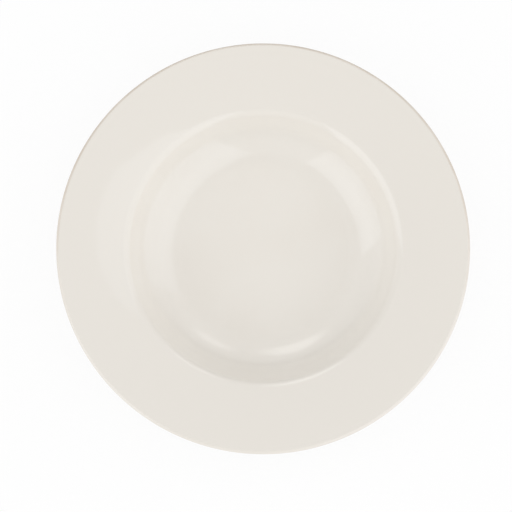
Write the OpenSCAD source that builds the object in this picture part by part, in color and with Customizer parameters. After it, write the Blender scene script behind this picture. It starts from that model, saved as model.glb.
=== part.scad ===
// Rimmed soup plate. One section line turns round the upright axis. The fired
// ceramic body stands on a foot ring. One coat of glaze runs from the middle of
// the well over the lip and down the back, a second coat covers the base inside
// the foot ring, and the foot of the ring between them is bare ceramic.
// The plate stands on z = 0 with its axis on the origin.

/* [Plate] */
// Diameter over the lip
rim_d = 230; // [210:1:270]
// Diameter of the well where its wall would meet the rim without rounding
well_d = 151.8; // [144:0.2:164]
// Height of that meeting line above the well floor
well_depth = 19.4; // [16:0.1:26]
// Slope of the well wall above level, in degrees
wall_angle = 54; // [48:1:60]
// Thickness of the well wall, and of the rim where it starts
wall_t = 4.4; // [3.4:0.1:5.4]
// Thickness of the well floor
floor_t = 4.4; // [3.4:0.1:6]

/* [Rim] */
// Slope of the rim beside the well, in degrees
rim_inner_angle = 12.3; // [8:0.1:18]
// Slope of the rim beside the lip, in degrees
rim_outer_angle = 9.2; // [4:0.1:12]
// Where the rim changes slope, as a share of its width from the well
rim_bend_share = 0.45; // [0.35:0.01:0.6]
// Upright thickness of the rim at the lip
lip_t = 3.8; // [3:0.1:5]
// Radius of each edge of the lip, as a share of its thickness
lip_round_share = 0.45; // [0.3:0.01:0.46]

/* [Curves] */
// Radius of the cove that joins the well floor to its wall
cove_r = 28.5; // [20:0.5:34]
// Radius of the shoulder that joins the well wall to the rim
shoulder_r = 7.8; // [5:0.1:14]
// Radius of the slight crown where the rim changes slope, less where the rim has no room
crown_r = 480; // [200:10:520]
// Radius of the hollow under the shoulder
under_shoulder_r = 7; // [4:0.5:10]

/* [Foot ring] */
// Outer diameter of the standing face
foot_d = 110; // [104:0.5:116]
// Width of the standing face
foot_w = 3; // [2.4:0.1:5]
// Depth of the recess inside the ring
recess_h = 3; // [2:0.1:5]
// Lean of the ring's sides from upright, in degrees
foot_draft = 12; // [4:1:20]
// Slope at which the back of the cove comes down to the base, in degrees
heel_angle = 18; // [12:1:24]
// Radius where the ring's sides meet the back, less where the glazed side is too low for it
foot_fillet_r = 1.5; // [0.8:0.1:2]
// Radius of the standing face's two edges
foot_edge_r = 0.6; // [0.3:0.1:0.9]

/* [Glaze] */
// Thickness of the fired glaze
glaze_t = 0.3; // [0.2:0.05:0.5]
// Height of the bare band round the foot, up to the glaze line
bare_h = 1.2; // [0.8:0.1:1.5]

/* [Hidden] */

// Largest angle between two neighbouring points of an arc, in degrees
arc_step_angle = 3;
// Smallest angle between two lines that an arc joins, in degrees
least_turn_angle = 0.01;
// Facets of the preview round the axis
turn_facets = 180;

// Unit direction that climbs outwards at a slope
function climb(slope) = [cos(slope), sin(slope)];

// Unit direction from one point to another
function heading(from, to) = (to - from) / norm(to - from);

// Unit direction square to another, on its left
function left_of(u) = [-u[1], u[0]];

// Sine of the left turn from one direction to another, times their lengths
function turn_sine(u, v) = u[0] * v[1] - u[1] * v[0];

// Left turn from one direction to another, in degrees
function turn(u, v) = atan2(turn_sine(u, v), u * v);

// A direction turned left by an angle
function turned(u, a) = u * cos(a) + left_of(u) * sin(a);

// Point where the line through p along u meets the line through q along v
function meeting(p, u, q, v) = p + u * turn_sine(q - p, v) / turn_sine(u, v);

// How far an arc of radius r reaches along each of the two lines that it joins
function reach(u, v, r) = r * tan(abs(turn(u, v)) / 2);

// The corner p between lines along u and v once both lines have moved right by depth
function moved_corner(p, u, v, depth) =
    let (across = left_of(u) + left_of(v))
    p - across * 2 * depth / (across * across);

// Points of the arc that rounds the corner p between lines along u and v
function arc(p, u, v, r) =
    let (side = sign(turn_sine(u, v)))
    let (steps = ceil(abs(turn(u, v)) / arc_step_angle))
    let (start = p - u * reach(u, v, r))
    let (centre = start + left_of(u) * side * r)
    [for (k = [0:steps]) centre - left_of(turned(u, turn(u, v) * k / steps)) * side * r];

function backwards(points) = [for (i = [1:len(points)]) points[len(points) - i]];

// The face: the flat of the well, the cove, the wall, the shoulder and the rim
rim_r = rim_d / 2;
well_r = well_d / 2;
floor_z = recess_h + floor_t;
toe_r = well_r - well_depth / tan(wall_angle);
shoulder = [well_r, floor_z + well_depth];
rim_bend_w = (rim_r - well_r) * rim_bend_share;
rim_bend = shoulder + [rim_bend_w, rim_bend_w * tan(rim_inner_angle)];
lip = [rim_r, rim_bend[1] + (rim_r - rim_bend[0]) * tan(rim_outer_angle)];
lip_r = lip_t * lip_round_share;

// The crown's arc ends before the arcs of the shoulder and the lip
shoulder_reach = reach(climb(wall_angle), climb(rim_inner_angle), shoulder_r);
lip_reach = reach(climb(rim_outer_angle), climb(-90), lip_r);
crown_room = min(norm(rim_bend - shoulder) - shoulder_reach, norm(lip - rim_bend) - lip_reach) - glaze_t;
crown_fit_r = min(crown_r, crown_room / tan(abs(rim_inner_angle - rim_outer_angle) / 2));

// The back of the wall and of the rim lies a wall thickness under their face
back_shoulder = moved_corner(shoulder, climb(wall_angle), climb(rim_inner_angle), wall_t);

// The back of the cove shares the cove's centre, down to the slope of the heel
cove_mid = [toe_r - cove_r * tan(wall_angle / 2), floor_z + cove_r];
back_cove_r = cove_r + wall_t;
heel_mean_angle = (wall_angle + heel_angle) / 2;
heel_half_angle = (wall_angle - heel_angle) / 2;
back_cove = cove_mid - left_of(climb(heel_mean_angle)) * back_cove_r / cos(heel_half_angle);
heel_end = meeting(back_cove, climb(heel_angle), [0, recess_h], climb(0));

// The finished dish without its foot ring: its corners along the face, then along the
// back to the middle of the base, each with the radius that rounds it
FACE = [
    [[0, floor_z], 0],
    [[toe_r, floor_z], cove_r],
    [shoulder, shoulder_r],
    [rim_bend, crown_fit_r],
    [lip, lip_r],
    [lip - [0, lip_t], lip_r]
];
BACK = [
    [back_shoulder, under_shoulder_r],
    [back_cove, back_cove_r],
    [heel_end, 0],
    [[0, recess_h], 0]
];
DISH = concat(FACE, BACK);

// Direction of the line between the corners on each side of a gap
function heading_in_gap(i) = heading(DISH[i][0], DISH[i + 1][0]);
function heading_before(i) = heading_in_gap(max(i, 1) - 1);
function heading_after(i) = heading_in_gap(min(i, len(DISH) - 2));

// A corner of the dish as it is drawn, with the whole line drawn in by depth. The
// arcs at every depth share their centres
function drawn(i, depth) =
    let (u = heading_before(i))
    let (v = heading_after(i))
    let (p = moved_corner(DISH[i][0], u, v, depth))
    DISH[i][1] == 0 || abs(turn(u, v)) < least_turn_angle ? [p] :
    arc(p, u, v, DISH[i][1] + depth * sign(turn_sine(u, v)));

function dish_line(depth) = [for (i = [0:len(DISH) - 1]) each drawn(i, depth)];
back_start = len([for (i = [0:len(FACE) - 1]) each drawn(i, 0)]);

// The sides of the foot ring, as the finished section runs: down the outer side and up
// the inner one. Each is a point on the floor and a direction
down = [-sin(foot_draft), -cos(foot_draft)];
up = [-sin(foot_draft), cos(foot_draft)];
inwards = -climb(0);
foot_r = foot_d / 2;
OUTER_SIDE = [[foot_r, 0], down];
INNER_SIDE = [[foot_r - foot_w, 0], up];

// The side of the ring drawn in by depth
function side_line(side, depth) = [side[0] - left_of(side[1]) * depth, side[1]];

// Where a side meets the back of the dish, both drawn in by depth: the place, the
// direction of the back there, and the number of the back's next point
function joint(side, depth) =
    let (points = dish_line(depth))
    let (q = side_line(side, depth)[0])
    let (v = side[1])
    let (on_left = [for (p = points) turn_sine(v, p - q) > 0])
    let (i = [for (k = [back_start:len(points) - 1]) if (on_left[k] != on_left[k - 1]) k][0])
    let (u = heading(points[i - 1], points[i]))
    [meeting(points[i], u, q, v), u, i];

// The fillet at a joint ends above the glaze line
function fillet_r(side) =
    let (at = joint(side, 0))
    let (room = (at[0][1] - bare_h) / cos(foot_draft) - glaze_t)
    min(foot_fillet_r, room / tan(abs(turn(at[1], side[1])) / 2));

// The points of the dish's line that stay clear of a fillet
function clear_points(points, first, last, centre, distance) =
    [for (k = [first:last]) if (norm(points[k] - centre) > distance) points[k]];

// From the middle of the well over the lip to the foot ring's outer side
function outer_run(depth) =
    let (at = joint(OUTER_SIDE, depth))
    let (r = fillet_r(OUTER_SIDE) + depth)
    let (clear_by = reach(at[1], down, r))
    concat(clear_points(dish_line(depth), 0, at[2] - 1, at[0], clear_by), arc(at[0], at[1], down, r));

// From the foot ring's inner side to the middle of the base
function inner_run(depth) =
    let (at = joint(INNER_SIDE, depth))
    let (r = fillet_r(INNER_SIDE) + depth)
    let (points = dish_line(depth))
    let (clear_by = reach(up, at[1], r))
    concat(arc(at[0], up, at[1], r), clear_points(points, at[2], len(points) - 1, at[0], clear_by));

// The end of a coat on a side of the ring: its glaze line, then the point under that
function coat_end(side) =
    let (edge = meeting(side[0], side[1], [0, bare_h], climb(0)))
    [edge, side_line([edge, side[1]], glaze_t)[0]];

// The rounded edge between a bare side of the ring and its standing face
function foot_edge(side, u, v) =
    let (bare = side_line(side, glaze_t))
    arc(meeting(bare[0], bare[1], [0, 0], inwards), u, v, foot_edge_r);

// Turns a closed section round the upright axis
module turned_round(section) {
    rotate_extrude($fn = turn_facets)
        polygon(section);
}

// The fired body, one glaze thickness inside the finished plate except where it stands
module ceramic_body() {
    outer_edge = foot_edge(OUTER_SIDE, down, inwards);
    inner_edge = foot_edge(INNER_SIDE, inwards, up);
    color("#d8cdbb")
        turned_round(concat(outer_run(glaze_t), outer_edge, inner_edge, inner_run(glaze_t)));
}

// The coat over the face, the lip and the back, down to its line on the foot ring
module outer_glaze() {
    color("#e8e3db")
        turned_round(concat(outer_run(0), coat_end(OUTER_SIDE), backwards(outer_run(glaze_t))));
}

// The coat inside the foot ring, from its line on the ring to the middle of the base
module base_glaze() {
    color("#e8e3db")
        turned_round(concat(backwards(inner_run(0)), coat_end(INNER_SIDE), inner_run(glaze_t)));
}

ceramic_body();
outer_glaze();
base_glaze();
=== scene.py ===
"""Rimmed soup plate in cream glaze, seen from above on a pale floor."""
import math

import bmesh
import bpy
from mathutils import Matrix, Vector


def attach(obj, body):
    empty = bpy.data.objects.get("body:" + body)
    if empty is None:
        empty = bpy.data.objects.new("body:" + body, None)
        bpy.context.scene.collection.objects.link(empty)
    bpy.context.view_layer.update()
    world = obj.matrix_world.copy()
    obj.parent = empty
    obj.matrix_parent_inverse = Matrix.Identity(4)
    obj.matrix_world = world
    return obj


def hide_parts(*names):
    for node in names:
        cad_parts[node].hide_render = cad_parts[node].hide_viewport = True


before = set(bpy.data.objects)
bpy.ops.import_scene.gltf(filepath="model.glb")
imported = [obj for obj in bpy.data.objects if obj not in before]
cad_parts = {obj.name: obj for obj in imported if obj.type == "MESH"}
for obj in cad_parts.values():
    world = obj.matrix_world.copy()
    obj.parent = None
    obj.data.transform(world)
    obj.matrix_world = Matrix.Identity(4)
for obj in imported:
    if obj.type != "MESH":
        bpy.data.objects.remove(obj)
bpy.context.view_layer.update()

MM = 0.001

# Sizes of the finished plate in millimetres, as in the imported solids
RIM_R = 115.0
WELL_R = 75.9
WELL_DEPTH = 19.4
WALL_ANGLE = 54.0
WALL_T = 4.4
FLOOR_T = 4.4
RIM_INNER_ANGLE = 12.3
RIM_OUTER_ANGLE = 9.2
RIM_BEND_SHARE = 0.45
LIP_T = 3.8
LIP_R = 1.71
COVE_R = 28.5
SHOULDER_R = 7.8
CROWN_R = 480.0
UNDER_SHOULDER_R = 7.0
FOOT_R = 55.0
FOOT_W = 3.0
RECESS_H = 3.0
FOOT_DRAFT = 12.0
HEEL_ANGLE = 18.0
FOOT_FILLET_R = 1.5
FOOT_EDGE_R = 0.6
GLAZE_T = 0.3
BARE_H = 1.2
# Radius of the roll in which the glaze ends on the foot ring
ROLL_R = 0.13

# How finely a line is drawn: degrees for each step of an arc, and millimetres for each
# step of a straight stretch
FINE = (1.2, 2.5)
MEDIUM = (3.0, 4.0)
COARSE = (6.0, 12.0)
# Degrees in the widest step of an arc, and steps in the shortest arc
WIDEST_STEP = 6
FEWEST_STEPS = 6
# Steps round the plate
ROUND_STEPS = 288
# Points nearer to each other than this, in millimetres, become one
MERGE_DISTANCE = 1e-4

# Brightness of the even daylight, and the slightly cool tint of the tall boxes and fills
DAYLIGHT = 0.975
COOL = (0.965, 1.00, 1.045)
# Grey of a glowing sheet, whose strength makes up the rest of its brightness. A paler one
# would be sampled as a lamp, which is noisy
GLOW_GREY = 0.4


# The section line

def climb(slope):
    """Unit direction in the section plane that climbs outwards at a slope in degrees."""
    return Vector((math.cos(math.radians(slope)), 0, math.sin(math.radians(slope))))


def left_of(u):
    """Unit direction square to another, on its left."""
    return Vector((-u.z, 0, u.x))


def turn_sine(u, v):
    """Sine of the left turn from one direction to another."""
    return u.x * v.z - u.z * v.x


def left_turn(u, v):
    """Angle of the left turn from one direction to another, in radians."""
    return math.atan2(turn_sine(u, v), u.dot(v))


def meeting(p, u, q, v):
    """Point where the line through p along u meets the line through q along v."""
    return p + u * (turn_sine(q - p, v) / turn_sine(u, v))


def at(r, z):
    """Point of the section plane at a radius and a height."""
    return Vector((r, 0, z))


def finished_corners():
    """Corners of the finished section with the radius of each: outer coat, foot, base coat."""
    floor_z = RECESS_H + FLOOR_T
    toe = at(WELL_R - WELL_DEPTH / math.tan(math.radians(WALL_ANGLE)), floor_z)
    shoulder = at(WELL_R, floor_z + WELL_DEPTH)
    bend_w = (RIM_R - WELL_R) * RIM_BEND_SHARE
    bend = meeting(shoulder, climb(RIM_INNER_ANGLE), at(WELL_R + bend_w, 0), climb(90))
    lip = meeting(bend, climb(RIM_OUTER_ANGLE), at(RIM_R, 0), climb(90))
    back_shoulder = meeting(
        shoulder - left_of(climb(WALL_ANGLE)) * WALL_T, climb(WALL_ANGLE),
        shoulder - left_of(climb(RIM_INNER_ANGLE)) * WALL_T, climb(RIM_INNER_ANGLE))
    cove_mid = at(toe.x - COVE_R * math.tan(math.radians(WALL_ANGLE / 2)), floor_z + COVE_R)
    back_r = COVE_R + WALL_T
    back_cove = meeting(
        cove_mid - left_of(climb(WALL_ANGLE)) * back_r, climb(WALL_ANGLE),
        cove_mid - left_of(climb(HEEL_ANGLE)) * back_r, climb(HEEL_ANGLE))
    foot_top = meeting(back_cove, climb(HEEL_ANGLE), at(FOOT_R, 0), climb(90 - FOOT_DRAFT))
    foot_in = at(FOOT_R - FOOT_W, 0)
    recess_edge = meeting(at(0, RECESS_H), climb(0), foot_in, climb(90 + FOOT_DRAFT))
    outer = [(at(0, floor_z), 0), (toe, COVE_R), (shoulder, SHOULDER_R), (bend, CROWN_R),
             (lip, LIP_R), (lip - at(0, LIP_T), LIP_R), (back_shoulder, UNDER_SHOULDER_R),
             (back_cove, back_r), (foot_top, FOOT_FILLET_R)]
    foot = [(at(FOOT_R, 0), FOOT_EDGE_R), (foot_in, FOOT_EDGE_R)]
    base = [(recess_edge, FOOT_FILLET_R), (at(0, RECESS_H), 0)]
    return outer, foot, base


def drawn_in(corners, bare, depth):
    """The corners with every line but the bare one moved into the clay by depth."""
    lines = [(b[0] - a[0]).normalized() for a, b in zip(corners, corners[1:])]
    depths = [0 if i == bare else depth for i in range(len(lines))]
    moved = []
    for i, (p, r) in enumerate(corners):
        before, after = max(i - 1, 0), min(i, len(lines) - 1)
        u, v = lines[before], lines[after]
        if before == after:
            moved.append((p - left_of(u) * depths[after], r))
            continue
        corner = meeting(p - left_of(u) * depths[before], u, p - left_of(v) * depths[after], v)
        grows = min(depths[before], depths[after]) * math.copysign(1, turn_sine(u, v))
        moved.append((corner, r + grows))
    return moved


def extend(bm, vert, end, stride):
    """Draws a straight stretch from a vertex to an end point and returns the vertex there."""
    start = vert.co.copy()
    steps = math.ceil((end - start).length / stride)
    for k in range(steps):
        vert = bmesh.ops.extrude_vert_indiv(bm, verts=[vert])["verts"][0]
        vert.co = start.lerp(end, (k + 1) / steps)
    return vert


def draw(bm, corners, fineness):
    """Draws the line through the corners, each rounded by its radius."""
    turn_step, stride = fineness
    arc_stride = stride / 10
    vert = bmesh.ops.create_vert(bm, co=corners[0][0])["vert"][0]
    for (a, _), (p, r), (b, _) in zip(corners, corners[1:], corners[2:]):
        u, v = (p - a).normalized(), (b - p).normalized()
        turn = left_turn(u, v)
        if not r:
            vert = extend(bm, vert, p, stride)
            continue
        vert = extend(bm, vert, p - u * r * math.tan(abs(turn) / 2), stride)
        centre = vert.co + left_of(u) * math.copysign(r, turn)
        degrees = math.degrees(abs(turn))
        wanted = min(degrees / turn_step, abs(turn) * r / arc_stride)
        steps = max(round(wanted), round(degrees / WIDEST_STEP), FEWEST_STEPS)
        bent = bmesh.ops.spin(bm, geom=[vert], cent=centre, axis=(0, -1, 0), angle=turn, steps=steps)
        vert = next(part for part in bent["geom_last"] if isinstance(part, bmesh.types.BMVert))
    extend(bm, vert, corners[-1][0], stride)


def turned_piece(name, lines, node):
    """Spins section lines into one closed piece that stands for a node."""
    bm = bmesh.new()
    for corners, fineness in lines:
        draw(bm, corners, fineness)
    bmesh.ops.remove_doubles(bm, verts=bm.verts[:], dist=MERGE_DISTANCE)
    bmesh.ops.spin(bm, geom=bm.verts[:] + bm.edges[:], cent=(0, 0, 0), axis=(0, 0, 1),
                   angle=math.tau, steps=ROUND_STEPS, use_merge=True)
    bmesh.ops.remove_doubles(bm, verts=bm.verts[:], dist=MERGE_DISTANCE)
    bmesh.ops.recalc_face_normals(bm, faces=bm.faces[:])
    bmesh.ops.scale(bm, vec=(MM, MM, MM), verts=bm.verts[:])
    mesh = bpy.data.meshes.new(name)
    bm.to_mesh(mesh)
    bm.free()
    mesh.shade_smooth()
    piece = bpy.data.objects.new(name, mesh)
    bpy.context.collection.objects.link(piece)
    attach(piece, "root")
    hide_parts(node)
    return piece


def build_plate():
    """The fired body and its two coats, each a closed turned piece."""
    outer, foot, base = finished_corners()
    corners = outer + foot + base
    inside = drawn_in(corners, len(outer), GLAZE_T)
    top, low = len(outer), len(outer) + len(foot)

    def glaze_end(above, foot_corner, clay_side):
        """The rounded roll at the glaze line, and the point where the coat's back starts."""
        side = (foot_corner[0] - above[0]).normalized()
        edge = meeting(foot_corner[0], side, at(0, BARE_H), climb(0))
        under = edge + left_of(side) * clay_side * GLAZE_T
        return [(edge, ROLL_R), (under, ROLL_R), (under - side * GLAZE_T, 0)]

    end = glaze_end(corners[top - 1], corners[top], -1)
    coat = turned_piece(
        "glaze_coat", [(corners[:top] + end, FINE), (end[-1:] + inside[:top][::-1], COARSE)],
        "outer_glaze")

    end = glaze_end(corners[low], corners[low - 1], 1)
    base_coat = turned_piece(
        "base_coat", [(corners[low:][::-1] + end, FINE), (end[-1:] + inside[low:], COARSE)],
        "base_glaze")

    body = turned_piece("fired_body", [(inside, MEDIUM)], "ceramic_body")
    return coat, base_coat, body


# Materials

class Nodes:
    """Adds nodes to a material or world and links their inputs by name."""

    def __init__(self, owner, shader="Principled BSDF"):
        self.owner = owner
        self.owner.use_nodes = True
        self.tree = self.owner.node_tree
        self.shader = self.tree.nodes[shader]
        self.place = self.add("ShaderNodeTexCoord").outputs["Object"]

    def add(self, kind, inputs=None, **settings):
        node = self.tree.nodes.new(kind)
        for key, value in settings.items():
            setattr(node, key, value)
        for key, value in (inputs or {}).items():
            self.set(node.inputs[key], value)
        return node

    def set(self, socket, value):
        if isinstance(value, bpy.types.NodeSocket):
            self.tree.links.new(value, socket)
        else:
            socket.default_value = value

    def cover(self, look):
        """Makes a look the whole surface in place of the first shader."""
        self.set(self.tree.nodes["Material Output"].inputs["Surface"], look)

    def math(self, operation, a, b=0.0, clamp=False):
        node = self.add("ShaderNodeMath", {0: a, 1: b}, operation=operation, use_clamp=clamp)
        return node.outputs[0]

    def axes(self, vector=None):
        """X, Y and Z of a vector, or of the place on the piece."""
        return self.add("ShaderNodeSeparateXYZ", {"Vector": vector or self.place}).outputs

    def radius(self):
        """Distance of the place from the plate's turning axis."""
        axes = self.axes()
        return self.math("SQRT", self.math("ADD", self.math("MULTIPLY", axes["X"], axes["X"]),
                                           self.math("MULTIPLY", axes["Y"], axes["Y"])))

    def noise(self, scale, detail, where=None):
        node = self.add("ShaderNodeTexNoise", {
            "Vector": where or self.place, "Scale": scale, "Detail": detail})
        return node.outputs["Fac"]

    def ramp(self, value, low, high, to_low=0.0, to_high=1.0):
        """Eases from one result to the other while the value goes from low to high."""
        node = self.add("ShaderNodeMapRange", {
            "Value": value, "From Min": low, "From Max": high, "To Min": to_low, "To Max": to_high},
            interpolation_type="SMOOTHSTEP")
        return node.outputs["Result"]

    def mix(self, share, a, b):
        node = self.add("ShaderNodeMix", {"Factor": share}, data_type="RGBA")
        self.set(node.inputs["A"], a)
        self.set(node.inputs["B"], b)
        return node.outputs["Result"]

    def bump(self, height, distance, normal=None):
        inputs = {"Height": height, "Distance": distance}
        if normal is not None:
            inputs["Normal"] = normal
        return self.add("ShaderNodeBump", inputs).outputs["Normal"]


def pinholes(n):
    """Where the glaze has one of its few tiny pits, from 0 to 1."""
    smooth_share = 0.985
    cells = n.add("ShaderNodeTexVoronoi", {"Vector": n.place, "Scale": 95.0}).outputs
    rare = n.math("GREATER_THAN", n.axes(cells["Color"])["X"], smooth_share)
    return n.math("MULTIPLY", rare, n.ramp(cells["Distance"], 0.028, 0.012))


def scratches(n):
    """Where the glaze has one of its fine scratches, which run two ways, from 0 to 1."""
    def streaks(turn, scale, start, full):
        stretched = n.add("ShaderNodeMapping", {
            "Vector": n.place, "Rotation": (0, 0, turn), "Scale": scale}).outputs[0]
        return n.ramp(n.noise(1.0, 1, where=stretched), start, full)

    return n.math("MAXIMUM", streaks(0.6, (40.0, 1800.0, 40.0), 0.70, 0.78),
                  streaks(-0.9, (1500.0, 55.0, 55.0), 0.71, 0.79))


def glaze(name):
    """Glossy cream glaze: faintly clouded and waved, painted a little darker on the rim as painted
    shade, tan where it is thin at the lip and darker along the far half of the lip as painted shade,
    with pinholes and fine scratches."""
    deep_cream, pale_cream = (0.797, 0.757, 0.696, 1), (0.806, 0.769, 0.710, 1)
    # Cream painted a little darker for the rim: painted shade, so that the rim shows no brighter
    # than the well floor under this light
    shaded_rim_cream = (0.779, 0.740, 0.680, 1)
    # Tan of the thin glaze at the lip, dark enough to stand also for painted shade along the far
    # half
    lip_tan_and_shade = (0.62, 0.545, 0.46, 1)
    pit_brown = (0.42, 0.34, 0.26, 1)
    rim_shade_from, rim_shade_to = (WELL_R - 4.9) * MM, (WELL_R + 2.1) * MM
    lip_from, lip_to = (RIM_R - 2.0) * MM, (RIM_R - 0.8) * MM
    near_y, far_y, near_side_share = -60 * MM, 60 * MM, 0.10
    n = Nodes(bpy.data.materials.new(name))
    radius = n.radius()
    pits = pinholes(n)
    scratched = scratches(n)

    cream = n.mix(n.ramp(n.noise(22, 3), 0.35, 0.65), deep_cream, pale_cream)
    # Painted shade: from just inside the shoulder outwards, the rim is painted a little darker than
    # the well
    cream = n.mix(n.ramp(radius, rim_shade_from, rim_shade_to), cream, shaded_rim_cream)
    # Tan of the thin glaze at the lip, with painted shade: full on the far half and a tenth of it on
    # the near half
    thin_glaze_and_far_shade = n.math("MULTIPLY", n.ramp(n.noise(60, 2), 0.3, 0.7, 0.6, 1.0),
                  n.ramp(n.axes()["Y"], near_y, far_y, near_side_share, 1.0))
    cream = n.mix(n.math("MULTIPLY", n.ramp(radius, lip_from, lip_to), thin_glaze_and_far_shade), cream, lip_tan_and_shade)
    n.set(n.shader.inputs["Base Color"], n.mix(pits, cream, pit_brown))

    n.set(n.shader.inputs["Roughness"],
          n.math("ADD", n.ramp(n.noise(35, 3), 0.3, 0.7, 0.028, 0.045),
                 n.math("MULTIPLY", scratched, 0.06)))
    n.shader.inputs["IOR"].default_value = 1.5

    waves = n.bump(n.noise(45, 1), 0.015 * MM)
    ripples = n.bump(n.noise(190, 2), 0.0050 * MM, normal=waves)
    peel = n.bump(n.noise(420, 1), 0.0012 * MM, normal=ripples)
    cuts = n.math("ADD", pits, n.math("MULTIPLY", scratched, 0.02))
    n.set(n.shader.inputs["Normal"], n.bump(n.math("SUBTRACT", 0.0, cuts), 0.05 * MM, normal=peel))
    return n.owner


def bare_ceramic(name):
    """Matt fired ceramic, speckled, with the fine rings left by grinding the foot."""
    dark_clay, pale_clay = (0.66, 0.575, 0.462, 1), (0.725, 0.648, 0.54, 1)
    speck_brown = (0.45, 0.36, 0.27, 1)
    worn_grey = (0.52, 0.47, 0.41, 1)
    worn_height = 0.35
    ring_radians_per_metre = 26000.0
    n = Nodes(bpy.data.materials.new(name))
    worn = n.ramp(n.axes()["Z"], worn_height * MM, 0.0)

    clay = n.mix(n.ramp(n.noise(60, 4), 0.3, 0.7), dark_clay, pale_clay)
    clay = n.mix(n.ramp(n.noise(1400, 2), 0.66, 0.74), clay, speck_brown)
    clay = n.mix(n.math("MULTIPLY", worn, n.noise(90, 3)), clay, worn_grey)
    n.set(n.shader.inputs["Base Color"], clay)
    n.set(n.shader.inputs["Roughness"], n.ramp(n.noise(300, 2), 0.3, 0.7, 0.72, 0.9))

    rings = n.math("SINE", n.math("MULTIPLY", n.radius(), ring_radians_per_metre))
    grain = n.bump(n.noise(2200, 2), 0.04 * MM)
    n.set(n.shader.inputs["Normal"],
          n.bump(n.math("MULTIPLY", rings, worn), 0.008 * MM, normal=grain))
    return n.owner


# Light, floor and camera

def point_at(azimuth, out, left, up):
    """Point in metres from millimetres out along an azimuth, to the left of it, and up."""
    return Matrix.Rotation(math.radians(azimuth), 3, "Z") @ Vector((out, left, up)) * MM


def direction(azimuth, zenith):
    """Unit direction at an azimuth and an angle from straight up, in degrees."""
    a, z = math.radians(azimuth), math.radians(zenith)
    return Vector((math.sin(z) * math.cos(a), math.sin(z) * math.sin(a), math.cos(z)))


def add_glow(name, bm, look, lights_plate=False):
    """A glowing part of the studio. Either only the glaze shows it, or it only lights."""
    mesh = bpy.data.meshes.new(name)
    bm.to_mesh(mesh)
    bm.free()
    mesh.materials.append(look)
    holder = bpy.data.objects.new(name, mesh)
    bpy.context.collection.objects.link(holder)
    holder.visible_camera = False
    holder.visible_diffuse = lights_plate
    holder.visible_glossy = not lights_plate
    holder.visible_transmission = False
    holder.visible_volume_scatter = False
    holder.visible_shadow = False


def glow(name, paint, tint=(1, 1, 1)):
    """A look that glows with the brightness that paint(nodes) returns."""
    n = Nodes(bpy.data.materials.new(name))
    light = n.add("ShaderNodeEmission", {
        "Color": [GLOW_GREY * c for c in tint] + [1],
        "Strength": n.math("DIVIDE", paint(n), GLOW_GREY)})
    n.cover(light.outputs[0])
    return n.owner


def build_room():
    """Pale walls that darken near the floor behind the plate and before it, a dimmer
    ceiling, and a broad glow and two soft lamps behind the plate."""
    walls, ceiling = 1.1, 0.80
    dark_behind, dark_before = 0.90, 0.50
    # Azimuth, angle from straight up, angle to its edge and brightness of each spot
    spots = [(90, 35, 45, 0.4), (105, 47, 15, 2.0), (65.5, 51, 11, 1.3)]

    def paint(n):
        outwards = n.add("ShaderNodeVectorMath", {0: n.place},
                         operation="NORMALIZE").outputs["Vector"]
        # Z is the sine of the angle above the floor, and Y grows towards the far side
        axes = n.axes(outwards)
        behind = n.math("MULTIPLY", n.ramp(axes["Z"], 0.40, 0.12, 0.0, dark_behind),
                        n.ramp(axes["Y"], 0.3, 0.9))
        before = n.math("MULTIPLY", n.ramp(axes["Z"], 0.70, 0.15, 0.0, dark_before),
                        n.ramp(axes["Y"], -0.4, -0.9))
        brightness = n.math("MULTIPLY", n.ramp(axes["Z"], 0.8, 0.97, walls, ceiling),
                            n.math("SUBTRACT", 1.0, n.math("ADD", behind, before)))
        for azimuth, zenith, edge, middle in spots:
            near = n.add("ShaderNodeVectorMath", {0: outwards, 1: direction(azimuth, zenith)},
                         operation="DOT_PRODUCT").outputs["Value"]
            spot = n.ramp(near, math.cos(math.radians(edge)), 1.0, 0.0, middle)
            brightness = n.math("ADD", brightness, spot)
        return brightness

    bm = bmesh.new()
    bmesh.ops.create_icosphere(bm, subdivisions=4, radius=5)
    add_glow("room", bm, glow("room_glow", paint))


def flat_face(azimuth, foot, top, outline):
    """A flat face at an azimuth that may lean. Foot and top each give a distance out and a
    height, and the outline gives how far to the left and how high each corner is."""
    bm = bmesh.new()
    corners = []
    for left, up in outline:
        out = foot[0] + (top[0] - foot[0]) * (up - foot[1]) / (top[1] - foot[1])
        corners.append(bm.verts.new(point_at(azimuth, out, left, up)))
    bm.faces.new(corners)
    bmesh.ops.triangulate(bm, faces=bm.faces[:])
    return bm


def build_back_wall():
    """A dark wall behind the plate that keeps daylight off the near side of the well."""
    azimuth, out, side, height, brightness = 100, 3000, 1900, 1900, 0.08
    bm = flat_face(azimuth, (out, 0), (out, height),
                   ((side, 0), (side, height), (-side, height), (-side, 0)))
    add_glow("back_wall", bm, glow("back_wall_glow", lambda n: brightness), lights_plate=True)


def build_box(name, azimuth, foot, top, outline, brightness):
    """The glowing face of a tall box, with its brightness at the top, the middle and the foot."""
    foot_up, middle_up, top_up = 100 * MM, 1300 * MM, 2400 * MM

    def paint(n):
        height = n.axes()["Z"]
        at_top, at_middle, at_foot = brightness
        return n.math("ADD", n.ramp(height, middle_up, top_up, at_middle, at_top),
                      n.ramp(height, foot_up, middle_up, at_foot - at_middle, 0.0))

    add_glow(name, flat_face(azimuth, foot, top, outline), glow(name + "_glow", paint, COOL))


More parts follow.
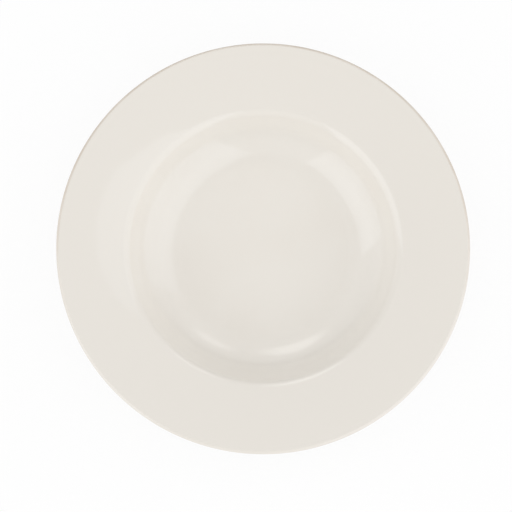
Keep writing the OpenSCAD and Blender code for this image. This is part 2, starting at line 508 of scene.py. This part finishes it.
def add_fill(name, azimuth, brightness):
    """A flat lamp low beside the plate that lights it and isn't seen in the glaze."""
    top_out, top_up, foot_out, foot_up, width = 1500, 800, 1700, 150, 3000
    high, low = point_at(azimuth, top_out, 0, top_up), point_at(azimuth, foot_out, 0, foot_up)
    up, left = (high - low).normalized(), point_at(azimuth, 0, 1, 0).normalized()
    lamp = bpy.data.lights.new(name, "AREA")
    lamp.shape = "RECTANGLE"
    lamp.size = width * MM
    lamp.size_y = (high - low).length
    lamp.color = COOL
    lamp.energy = brightness * lamp.size * lamp.size_y * math.pi
    holder = bpy.data.objects.new(name, lamp)
    bpy.context.collection.objects.link(holder)
    turn = Matrix((left, up, left.cross(up))).transposed().to_4x4()
    holder.matrix_world = Matrix.Translation((high + low) / 2) @ turn
    holder.visible_camera = False
    holder.visible_glossy = False


def light_world():
    """Even light from all round. The camera sees white."""
    world = bpy.data.worlds.new("daylight")
    bpy.context.scene.world = world
    n = Nodes(world, "Background")
    camera = n.add("ShaderNodeLightPath").outputs["Is Camera Ray"]
    n.shader.inputs["Color"].default_value = (1, 1, 1, 1)
    n.set(n.shader.inputs["Strength"], n.ramp(camera, 0.0, 1.0, DAYLIGHT, 1.0))


def light_studio():
    """Even daylight with a dark wall behind the plate, a room and two tall boxes that show in
    the glaze, and three weak fills."""
    # Outlines of the boxes: how far to the left and how high each corner is, in millimetres.
    # The right one's top edge dips in the middle
    right = ((850, 80), (850, 2400), (160, 2400), (100, 2345), (20, 2312),
             (-40, 2315), (-127, 2362), (-400, 2400), (-1170, 2400), (-1170, 80))
    left = ((791, 100), (655, 2400), (-1049, 2400), (-913, 100))
    light_world()
    build_room()
    build_back_wall()
    build_box("right_box", -15, (1072, 80), (480, 2400), right, (1.58, 1.92, 1.40))
    build_box("left_box", -152, (1725, 100), (1060, 2400), left, (1.80, 2.20, 1.38))
    add_fill("right_fill", 8, 0.90)
    add_fill("left_fill", 170, 0.80)
    add_fill("near_fill", -90, 0.54)


def lay_floor():
    """A pale floor that looks white to the camera and in the glaze, and keeps the shadow."""
    white_share = 0.9
    bm = bmesh.new()
    bmesh.ops.create_grid(bm, x_segments=1, y_segments=1, size=6)
    mesh = bpy.data.meshes.new("floor")
    bm.to_mesh(mesh)
    bm.free()
    floor = bpy.data.objects.new("floor", mesh)
    bpy.context.collection.objects.link(floor)
    n = Nodes(bpy.data.materials.new("pale_floor"))
    grain = n.mix(n.noise(6, 3), (0.90, 0.90, 0.90, 1), (0.92, 0.92, 0.92, 1))
    n.set(n.shader.inputs["Base Color"], grain)
    n.shader.inputs["Roughness"].default_value = 0.9
    n.shader.inputs["Specular IOR Level"].default_value = 0.0
    ray = n.add("ShaderNodeLightPath").outputs
    mirrored = n.math("ADD", ray["Is Glossy Ray"], ray["Is Transmission Ray"])
    seen = n.math("ADD", ray["Is Camera Ray"], mirrored, clamp=True)
    white = n.add("ShaderNodeEmission", {"Color": (1, 1, 1, 1), "Strength": 1.0}).outputs[0]
    n.cover(n.add("ShaderNodeMixShader", {
        0: n.math("MULTIPLY", seen, white_share), 1: n.shader.outputs[0], 2: white}).outputs[0])
    mesh.materials.append(n.owner)


def place_camera():
    """A long lens above the plate, leaning a little to the near side."""
    distance, lean = 0.9, math.radians(7)
    rim_px, centre_px = 207.4, (263.15, 245.25)
    frame_px, sensor = 512, 36.0
    rim_top = 34.12 * MM
    data = bpy.data.cameras.new("camera")
    data.sensor_width = sensor
    data.lens = rim_px / frame_px * sensor / (RIM_R * MM) * distance
    data.shift_x = (frame_px / 2 - centre_px[0]) / frame_px
    data.shift_y = (centre_px[1] - frame_px / 2) / frame_px
    data.clip_end = 50
    camera = bpy.data.objects.new("camera", data)
    bpy.context.collection.objects.link(camera)
    camera.rotation_euler = (lean, 0, 0)
    camera.location = (0, -math.sin(lean) * distance, math.cos(lean) * distance + rim_top)
    bpy.context.scene.camera = camera


coat, base_coat, body = build_plate()
coat.data.materials.append(glaze("cream_glaze_look"))
base_coat.data.materials.append(glaze("base_glaze_look"))
body.data.materials.append(bare_ceramic("bare_ceramic_look"))
lay_floor()
light_studio()
place_camera()
bpy.context.scene.view_settings.view_transform = "Standard"
